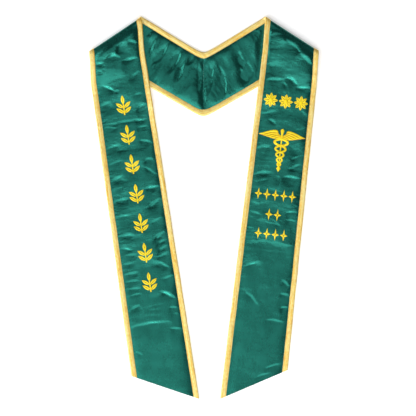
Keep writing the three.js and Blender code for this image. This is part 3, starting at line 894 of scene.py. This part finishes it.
# %% The ribbon's finish
# Across the ribbon the pattern runs from the lower stitched edge over the fold to the upper one.
def gold_ribbon():
    finish = Finish("gold_ribbon", Metallic=0.45)
    across, along = finish.pattern()
    girth = across.math("ABSOLUTE", across)
    inner = ((girth - 8.6) / 3.2).clamped()
    streaks = finish.noise(across / 0.9, along / 46, detail=4, roughness=0.6)
    wide = finish.noise(across / 3.2, along / 70, detail=2, level=3)
    patches = finish.noise(across / 9, along / 24, detail=3, level=6)
    gold = (0.86, 0.52, 0.05, 1)
    highlight_pale = (0.95, 0.80, 0.32, 1)
    amber = (0.66, 0.28, 0.015, 1)
    glints = finish.noise(across / 2.2, along / 5, detail=3, roughness=0.65, level=9)
    # The pale streaks and specks in the base colour are painted highlights.
    light = ((streaks - 0.46) * 3 + (wide - 0.5) * 2.4 + (glints - 0.5) * 2.4 + 0.5).clamped()
    # Amber toward the stitched edges is painted shade. The amber patches come at random.
    amber_patches_and_painted_shade = ((patches - 0.56) * 5).clamped() * 0.6 + inner * 0.3
    colour = finish.mix(light, gold, highlight_pale)
    colour = finish.mix(amber_patches_and_painted_shade.clamped(), colour, amber)
    finish.feed(
        Base_Color=colour,
        Roughness=0.3 + 0.2 * streaks,
        Normal=finish.bump(0.1 * streaks + 0.5 * glints, 1.0),
    )
    return finish.material


GOLD_RIBBON = gold_ribbon()
neck_ribbon = ribbon("neck_ribbon", 1, GOLD_RIBBON)
outer_ribbon = ribbon("outer_ribbon", -1, GOLD_RIBBON)
for piece in (neck_ribbon, outer_ribbon):
    print(piece.name, triangles(piece), "triangles")

# %% [markdown]
# One row of machine stitches holds both legs of the ribbon down, seen on its upper face and on the
# lower one. Each row is one thin tube of thread. Four rows of its grid make a stitch: the thread
# comes up out of the ribbon, lies on it, and dives back in.

# %% Rows of stitches
STITCH_PITCH = 3.2
STITCH_ALONG = np.array([0, 0.22, 0.5, 0.78])  # of a stitch's four rows, as shares of the pitch
STITCH_RADIUS = np.array([0.08, 0.25, 0.28, 0.25])
STITCH_RISE = np.array([1.1, 1.5, 1.56, 1.5])  # from the satin's middle
STITCH_SIDES = 5
STITCH_FROM_SEAM = 2
STITCH_FROM_TIP = 4
STITCH_CLEARANCE = 0.02  # above the table, for the lower row


def stitch_thread():
    finish = Finish("ribbon_thread", Roughness=0.45)
    across, along = finish.pattern()
    each = finish.noise(across / 3, along / STITCH_PITCH, detail=1)
    finish.feed(Base_Color=finish.mix(each, (0.62, 0.34, 0.03, 1), (0.88, 0.62, 0.12, 1)))
    return finish.material


def stitching(name, side, finish):
    """Stitches from tip to tip. side is 1 for the neck edge and -1 for the outer edge."""
    sheet = bmesh.new()
    points = []
    along = []
    for half in (LEFT, RIGHT):
        seam_u, tip_u = (
            side * (half.half_width(s) - RIBBON_WIDTH + STITCH_LINE) for s in (0, half.length)
        )
        first = half.cuts[0, 0] + half.cuts[0, 1] * seam_u + STITCH_FROM_SEAM
        last = half.cuts[3, 0] + half.cuts[3, 1] * tip_u - STITCH_FROM_TIP
        rows = 4 * int((last - first) / STITCH_PITCH)
        for face in (-1, 1):
            grid = bmesh.ops.create_grid(sheet, x_segments=STITCH_SIDES, y_segments=rows, size=0.5)
            places = np.array([vert.co[:2] for vert in grid["verts"]]) + 0.5
            row = (places[:, 1] * rows).round().astype(int)
            part = row % 4
            s = first + STITCH_PITCH * (row // 4 + STITCH_ALONG[part])
            u = side * (half.half_width(s) - RIBBON_WIDTH + STITCH_LINE)
            middle, normal = half.surface(s, u)
            ahead = half.lay(s + 1, u) - middle
            aside = np.cross(normal, ahead / np.linalg.norm(ahead, axis=1)[:, None])
            turn = 2 * math.pi * places[:, :1]
            ring = aside * np.cos(turn) + normal * np.sin(turn)
            middle = middle + face * normal * STITCH_RISE[part][:, None]
            tube = middle + ring * STITCH_RADIUS[part][:, None]
            tube[:, 2] = np.maximum(tube[:, 2], STITCH_CLEARANCE)
            points.append(tube)
            along.append(s)
    along = np.concatenate(along)
    keep_pattern(sheet, np.full(len(along), float(side)), along)
    move_all(sheet, np.concatenate(points))
    bmesh.ops.remove_doubles(sheet, verts=sheet.verts, dist=1e-7)
    ends = [edge for edge in sheet.edges if edge.is_boundary]
    bmesh.ops.holes_fill(sheet, edges=ends, sides=0)
    bmesh.ops.recalc_face_normals(sheet, faces=sheet.faces)
    return piece_from(sheet, name, finish, sharp_angle=80)


RIBBON_THREAD = stitch_thread()
neck_stitching = stitching("neck_stitching", 1, RIBBON_THREAD)
outer_stitching = stitching("outer_stitching", -1, RIBBON_THREAD)
print(triangles(neck_stitching), "triangles in the stitches of the neck edge")

# %% [markdown]
# ## Satin stitch
#
# This embroidery is satin stitch: threads laid side by side from one edge of a shape to the other.
# It could be a painted pattern, but real stitches stand up and catch the light one by one. Here a
# patch of stitches lies between two rails. Its grid has two rows a thread, so every other row
# sinks into the groove between threads, and its columns go over the threads and back underneath. A
# figure is sewn flat in its own plane, in millimetres with y up the panel, and laid on the satin
# after.

# %% Sizes of the thread
THREAD = 0.55
GROOVE = 0.13
THREAD_HEIGHT = 0.85
SUNK = -0.12  # the ends of the threads go into the satin
RAIL_GAP = 0.1
END_THREAD = 0.6  # height of a patch's first and last thread, as a share of the others
FIGURE_PART = ("across", "along", "edge")
# Places over a thread, from one end to the other, and back underneath to the first.
OVER_AND_BACK = np.array([-1, -0.85, -0.5, 0, 0.5, 0.85, 1, -1])


def rail_steps(rail):
    return np.hypot(*np.diff(rail, axis=0).T)


def along_rail(rail, share):
    """Points at shares of a rail's length."""
    steps = rail_steps(rail)
    reached = np.concatenate([[0], np.cumsum(steps)]) / steps.sum()
    return np.column_stack([np.interp(share, reached, rail[:, axis]) for axis in (0, 1)])


# %% An embroidered figure
class Figure:
    """Patches of satin stitch in one flat mesh, and the way they go onto a panel."""

    def __init__(self):
        self.sheet = bmesh.new()
        for part in FIGURE_PART:
            self.sheet.verts.layers.float.new(part)

    def patch(self, first, second, height=THREAD_HEIGHT, slant=0.0, gap=RAIL_GAP):
        """Threads from one rail to the other. A list of heights runs along the rails."""
        run = max(rail_steps(first).sum(), rail_steps(second).sum())
        rows = 2 * max(round(run / THREAD), 2)
        columns = len(OVER_AND_BACK) - 1
        grid = bmesh.ops.create_grid(self.sheet, x_segments=columns, y_segments=rows, size=0.5)
        places = np.array([vert.co[:2] for vert in grid["verts"]]) + 0.5
        share = places[:, 1]
        row = (share * rows).round().astype(int)
        over = OVER_AND_BACK[(places[:, 0] * columns).round().astype(int)]
        near = along_rail(first, share - slant / run)
        far = along_rail(second, share + slant / run)
        reach = np.hypot(*(far - near).T) / 2
        way = (far - near) / (2 * reach[:, None])
        reach = np.maximum(reach - gap, 0.15)
        flat = (near + far) / 2 + way * (over * reach)[:, None]
        tall = np.interp(share, np.linspace(0, 1, np.size(height)), np.ravel(height))
        tall = tall * np.where((row == 0) | (row == rows), END_THREAD, 1) - GROOVE * (row % 2)
        crown = np.sqrt(1 - over**4)
        up = crown * tall + (1 - crown) * SUNK
        parts = zip(over * reach, share * run, np.abs(over))
        layers = [self.sheet.verts.layers.float[part] for part in FIGURE_PART]
        for vert, (x, y), z, values in zip(grid["verts"], flat, up, parts):
            vert.co = (x, y, z)
            for layer, value in zip(layers, values):
                vert[layer] = value
        bmesh.ops.remove_doubles(self.sheet, verts=grid["verts"], dist=0.001)

    def close(self):
        """Closes the ends of all the patches."""
        ends = [edge for edge in self.sheet.edges if edge.is_boundary]
        bmesh.ops.holes_fill(self.sheet, edges=ends, sides=0)
        bmesh.ops.recalc_face_normals(self.sheet, faces=self.sheet.faces)
        return self

    def on_panel(self, name, finish, half, down, aside=0.0):
        """A copy of the figure, laid on a front panel."""
        sheet = self.sheet.copy()
        flat = np.array([vert.co[:] for vert in sheet.verts])
        s = half.fold_at + down - flat[:, 1]
        middle, normal = half.surface(s, -half.hand * (aside + flat[:, 0]))
        move_all(sheet, middle - normal * (SATIN_THICKNESS / 2 + flat[:, 2])[:, None])
        across, along = (
            np.array([vert[sheet.verts.layers.float[part]] for vert in sheet.verts])
            for part in FIGURE_PART[:2]
        )
        keep_pattern(sheet, across, along)
        return piece_from(sheet, name, finish, sharp_angle=80)


# %% [markdown]
# Rayon thread is bright yellow and glossy. Where it dives into the satin, orange is painted into its
# colour as shade. The `edge` attribute of the mesh says how near the end of a thread a point is, and
# each thread differs a little from its neighbours.

# %% The thread's finish
def yellow_thread():
    finish = Finish("yellow_thread", Metallic=0.15)
    across, along = finish.pattern()
    edge = finish.node("ShaderNodeAttribute", {"attribute_name": "edge"}, output=2)
    each = finish.noise(across / 12, along / THREAD, detail=0)
    twist = finish.noise(across / 0.45 + along * 2.2, along / 0.5, detail=1, level=3)
    yellow = finish.mix(each, (0.98, 0.73, 0.002, 1), (0.98, 0.80, 0.006, 1))
    # Orange at the ends of the threads is painted shade, and some whole threads are a little more
    # orange at random.
    painted_end_shade_and_tone = ((edge - 0.62) * 2.4).clamped() + (0.46 - each).clamped() * 0.7
    finish.feed(
        Base_Color=finish.mix(painted_end_shade_and_tone.clamped(), yellow, (0.60, 0.27, 0.008, 1)),
        Roughness=0.34 + 0.2 * twist,
        Normal=finish.bump(twist, 0.06, 0.5),
    )
    return finish.material


def painted_shade_thread():
    """Orange-brown thread under the wings, which shows between the feathers as painted shade."""
    finish = Finish("orange_thread", Sheen_Weight=0.1)
    across, along = finish.pattern()
    each = finish.noise(across / 12, along / THREAD, detail=1)
    finish.feed(
        Base_Color=finish.mix(each, (0.50, 0.20, 0.008, 1), (0.72, 0.36, 0.012, 1)),
        Roughness=0.4 + 0.2 * each,
    )
    return finish.material


YELLOW_THREAD = yellow_thread()
ORANGE_SHADE_THREAD = painted_shade_thread()

# %% [markdown]
# ## The column of sprigs
#
# A sprig is a stem with five leaves. A leaf is sewn in two halves from its vein, with the threads
# slanting up and out, as an embroidery machine does it.


# %% A leafy sprig
def turned(points, angle):
    """Points turned about the origin, and a positive angle leans them to the right."""
    turn = np.array([[math.cos(angle), -math.sin(angle)], [math.sin(angle), math.cos(angle)]])
    return points @ turn


def leaf(figure, length, width, foot=0.0, angle=0.0, start=0.0, height=THREAD_HEIGHT, slant=0.8):
    """Two halves either side of a vein, with pointed ends, grown from a foot on the middle line."""
    share = np.linspace(0, 1, 25)
    edge = np.maximum(2 * share * (1 - share) * width, 0.35)
    for side in (-1, 1):
        rails = [
            turned(np.column_stack([out, start + share * length]), angle) + (0, foot)
            for out in (np.full(25, side * 0.05), side * edge)
        ]
        figure.patch(*rails, height=height, slant=slant)


def bar(figure, width, low, high, height):
    rails = [np.array([(x, low), (x, high)]) for x in (-width / 2, width / 2)]
    figure.patch(*rails, height=height)


def sprig():
    figure = Figure()
    bar(figure, 3, -20, 9, 0.6)
    leaf(figure, 19, 7.5, foot=1)
    for foot in (-16.4, -6):
        for side in (-1, 1):
            leaf(figure, 19, 7.5, foot, side * math.radians(52))
    return figure.close()


embroidery = {}
pattern = sprig()
for number, down in enumerate(SPRIG_DOWN, 1):
    node = f"sprig_{number}"
    embroidery[node] = pattern.on_panel(f"{node}_stitches", YELLOW_THREAD, LEFT, down)
print(triangles(embroidery["sprig_1"]), "triangles a sprig")

# %% [markdown]
# ## Rosettes and stars
#
# A rosette has eight petals, four laid over four, round a raised centre. A star is four kites that
# meet in its middle, each with its threads across it.

# %% Rosettes
ROSETTE_SIZE = 29.3
ROSETTE_PITCH = 30.3


def disc(figure, radius, height):
    turns = np.linspace(-0.49 * math.pi, 0.49 * math.pi, 15)
    outline = radius * np.column_stack([np.cos(turns), np.sin(turns)])
    figure.patch(outline * (-1, 1), outline, height=height)


def rosette():
    figure = Figure()
    for number in range(8):
        tall = THREAD_HEIGHT if number % 2 else 0.6
        leaf(figure, ROSETTE_SIZE / 2 - 1.5, 7, 0, number * math.pi / 4, 1.5, tall, 0.4)
    disc(figure, 4, 1.25)
    return figure.close()


pattern = rosette()
for number in (1, 2, 3):
    node = f"rosette_{number}"
    aside = (number - 2) * ROSETTE_PITCH
    piece = pattern.on_panel(f"{node}_stitches", YELLOW_THREAD, RIGHT, ROSETTE_DOWN, aside)
    embroidery[node] = piece
print(triangles(piece), "triangles a rosette")


# %% Stars
STAR_PITCH = 17
STAR_REACH = 11.5  # of the arms that point up and down
STAR_LEVEL_REACH = 7.5
STAR_WAIST = (2.12, 3.25)  # where two arms meet, out and up from the middle
STAR_HEIGHT = 0.75


def kite(out, up, reach, side):
    """The two rails of an arm that points up or down, from the middle to its point."""
    return [
        np.array([(x * 0.3 * out, side * 0.3 * up), (x * out, side * up), (x * 0.2, side * reach)])
        for x in (-1, 1)
    ]


def star():
    figure = Figure()
    out, up = STAR_WAIST
    for side in (-1, 1):
        figure.patch(*kite(out, up, STAR_REACH, side), height=STAR_HEIGHT)
        level = [rail[:, ::-1] for rail in kite(up, out, STAR_LEVEL_REACH, side)]
        figure.patch(*level, height=STAR_HEIGHT)
    return figure.close()


pattern = star()
for row, down, count in STAR_ROWS:
    for number in range(count):
        node = f"star_{row}_{number + 1}"
        aside = (number - (count - 1) / 2) * STAR_PITCH
        piece = pattern.on_panel(f"{node}_stitches", YELLOW_THREAD, RIGHT, down, aside)
        embroidery[node] = piece
print(triangles(piece), "triangles a star")

# %% [markdown]
# ## The winged staff
#
# The emblem is the traditional staff with two snakes and two wings. The rod is sewn first and lies
# lowest. The snakes cross over it in loops, and at each crossing the one that was under comes
# over. A wing is an orange underlay with five feathers sewn over it, so thin orange lines of
# painted shade show between them.

# %% Staff and snakes
EMBLEM_DOWN = 235.3
STAFF_LENGTH = 86
STAFF_NECK = 29  # where the knob and the wings begin, from the staff's middle
SNAKE_START = 0.235
SNAKE_ROUND = 0.65  # below 1, which makes the loops rounder
SNAKE_THICK = 5.2
SNAKE_THIN = 3.4
# Where a loop ends, down from the top, and its outer width, both as shares of the staff's length.
SNAKE_LOOPS = [(0.39, 0.377), (0.535, 0.3), (0.66, 0.235), (0.775, 0.18), (0.865, 0.135)]


def curve(points, count=20):
    """A Bezier curve of the degree that its control points give."""
    share = np.linspace(0, 1, count)[:, None]
    points = [np.array(point, float) for point in points]
    while len(points) > 1:
        points = [low + (high - low) * share for low, high in zip(points, points[1:])]
    return points[0]


def snake(figure, side):
    middle = []
    heights = []
    start = SNAKE_START
    share = np.linspace(0, 1, 24)[:-1]
    for number, (end, width) in enumerate(SNAKE_LOOPS):
        swing = (width * STAFF_LENGTH - SNAKE_THICK) / 2 * (side if number % 2 == 0 else -side)
        down = start + (end - start) * share
        x = swing * np.sin(math.pi * share) ** SNAKE_ROUND
        middle.append(np.column_stack([x, STAFF_LENGTH * (0.5 - down)]))
        heights.append(1.0 + 0.4 * side * np.cos(math.pi * (number + share)))
        start = end
    middle = np.concatenate(middle)
    way = np.gradient(middle, axis=0)
    way /= np.hypot(*way.T)[:, None]
    thick = np.linspace(SNAKE_THICK, SNAKE_THIN, len(middle))[:, None] / 2
    aside = np.column_stack([-way[:, 1], way[:, 0]]) * thick
    figure.patch(middle + aside, middle - aside, height=np.concatenate(heights))


def staff():
    figure = Figure()
    bar(figure, 3, -36, STAFF_NECK, 0.5)
    for side in (-1, 1):
        snake(figure, side)
    top = STAFF_LENGTH / 2
    knob = np.concatenate([[(1.5, STAFF_NECK)], curve([(4, top - 4), (4, top - 0.5), (0.4, top)])])
    figure.patch(knob * (-1, 1), knob, height=1.1)
    point = np.array([(0.3, -top), (4.8, 7 - top), (0.3, 14 - top)])
    figure.patch(point * (-1, 1), point, height=1.1)
    return figure


# %% Wings
WING_SPAN = 46.6
WING_TOP = curve([(0.27, 0.25), (0.5, 0.25), (1, 0)])
# The lines between two feathers, as three control points out and up from the wing's root, and the
# tips of the feathers, all as shares of the span.
FEATHER_LINES = [
    [(0.19, 0.135), (0.45, 0.17), (0.80, -0.0225)],
    [(0.15, 0.075), (0.38, 0.09), (0.64, -0.0675)],
    [(0.11, 0.02), (0.30, 0.02), (0.48, -0.11)],
    [(0.05, -0.03), (0.19, -0.04), (0.32, -0.1475)],
    [(0, -0.10), (0.15, -0.13), (0.33, -0.16)],
]
FEATHER_GAP = 0.3
FEATHER_TIPS = [(1, 0), (0.85, -0.045), (0.69, -0.09), (0.53, -0.13), (0.37, -0.165)]


def wing_place(points, side):
    """From shares of the span to the emblem's plane."""
    return np.array(points, float) * (side * WING_SPAN, WING_SPAN) + (0, STAFF_NECK)


def feathers(figure, side):
    lines = [np.concatenate([curve([(0.17, 0.13), (0.16, 0.25), (0.27, 0.25)]), WING_TOP[1:-1]])]
    lines += [curve(line) for line in FEATHER_LINES]
    for upper, lower, tip in zip(lines, lines[1:], FEATHER_TIPS):
        rails = []
        for line, lift in ((upper, 0.003), (lower, -0.003)):
            end = np.array(tip) + (0, lift)
            rails.append(wing_place(np.concatenate([line, [end]]), side))
        figure.patch(*rails, height=1.0, slant=1.2, gap=FEATHER_GAP)
    inner = [(0, 0), (0.12, 0.055), (0.17, 0.13)]
    outer = [(0, -0.1), (0.05, -0.03), (0.11, 0.02), (0.15, 0.075), (0.19, 0.135)]
    figure.patch(wing_place(inner, side), wing_place(outer, side), height=1.05)


def wing_shade():
    """The whole outline of both wings, sewn low in orange, which shows between the feathers as
    painted shade.
    """
    figure = Figure()
    inner = curve([(0, 0), (0.27, 0.12), (0.135, 0.25), (0.27, 0.25)])
    upper = np.concatenate([inner, WING_TOP[1:]])
    lower = [(0, -0.12), *FEATHER_TIPS[:0:-1], (0.99, -0.01)]
    for side in (-1, 1):
        figure.patch(wing_place(upper, side), wing_place(lower, side), height=0.35)
    return figure.close()


emblem = staff()
for side in (-1, 1):
    feathers(emblem, side)
emblem.close()
embroidery["emblem"] = emblem.on_panel("emblem_stitches", YELLOW_THREAD, RIGHT, EMBLEM_DOWN)
# The orange underlay is painted shade: it only shows in the gaps between the feathers.
emblem_wing_shade = wing_shade().on_panel("emblem_wing_shade", ORANGE_SHADE_THREAD, RIGHT, EMBLEM_DOWN)
print(triangles(embroidery["emblem"]), "triangles in the emblem")

# %% [markdown]
# ## Telling the frame
#
# Each piece stands for the solid that it covers: the solid is hidden, and the piece rides on the one
# body.


# %% Pieces in place of the solids
def stands_for(piece, node):
    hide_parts(node)
    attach(piece, "root")


for node, piece in embroidery.items():
    stands_for(piece, node)
stands_for(emblem_wing_shade, "emblem")
on_left = [piece for node, piece in embroidery.items() if node.startswith("sprig")]
on_right = [piece for piece in embroidery.values() if piece not in on_left] + [emblem_wing_shade]
for (half, piece), sewn_on in zip(satins.items(), (on_left, on_right)):
    stands_for(piece, f"{half.name}_satin")
for piece, stitches, node in (
    (neck_ribbon, neck_stitching, "neck_binding"),
    (outer_ribbon, outer_stitching, "outer_binding"),
):
    stands_for(piece, node)
    stands_for(stitches, node)

# %% [markdown]
# ## Size
#
# The box of everything that was added is kept beside the CAD's own, to show how far the soft cloth
# goes past the solids. Only the swell behind the shoulders does, upwards.

# %% Size
visual_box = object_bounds()
for axis, low, high in zip("xyz", visual_box[0] - cad_box[0], visual_box[1] - cad_box[1]):
    print(f"{axis}: starts {low / MM:.2f} mm and ends {high / MM:.2f} mm from where the CAD box does")
